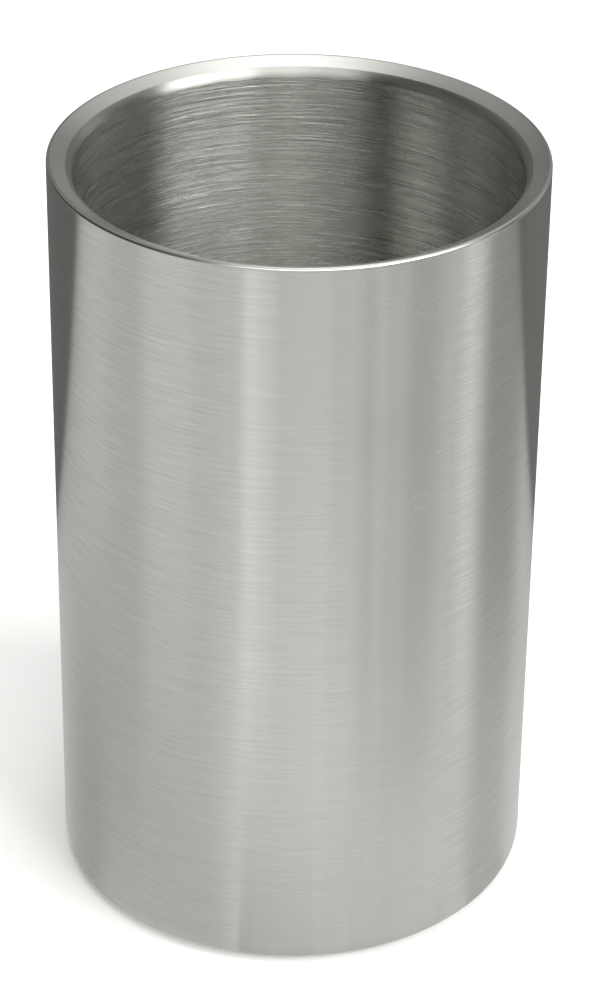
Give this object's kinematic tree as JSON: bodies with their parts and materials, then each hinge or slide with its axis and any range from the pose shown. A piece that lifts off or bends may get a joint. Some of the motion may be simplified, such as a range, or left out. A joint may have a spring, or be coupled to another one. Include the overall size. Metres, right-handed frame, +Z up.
{
  "type": "bottle cooler",
  "caption": "Straight round double-wall bottle cooler in brushed stainless steel, open at the top, with a sloping rim, a pressed floor and a rubber foot.",
  "frame": {"origin": "on the table, under the centre of the cooler, at the underside of the foot ring", "axes": "+Z up along the cooler's axis; +X and +Y are any two directions across it, because it is round"},
  "size_m": [0.12, 0.12, 0.196],
  "materials": {
    "shell_steel": "fine brush running round the wall",
    "liner_steel": "satin rim, coarse brush running round the bore",
    "floor_steel": "turned brush, duller than the wall",
    "plate_steel": "plain pressed sheet, matt",
    "foot_rubber": "matt black",
    "plug_rubber": "matt black"
  },
  "bodies": {
    "root": {"outer_shell": "shell_steel", "inner_liner": "liner_steel", "liner_floor": "floor_steel", "base_plate": "plate_steel", "foot_ring": "foot_rubber", "vent_plug": "plug_rubber"}
  },
  "joints": []
}
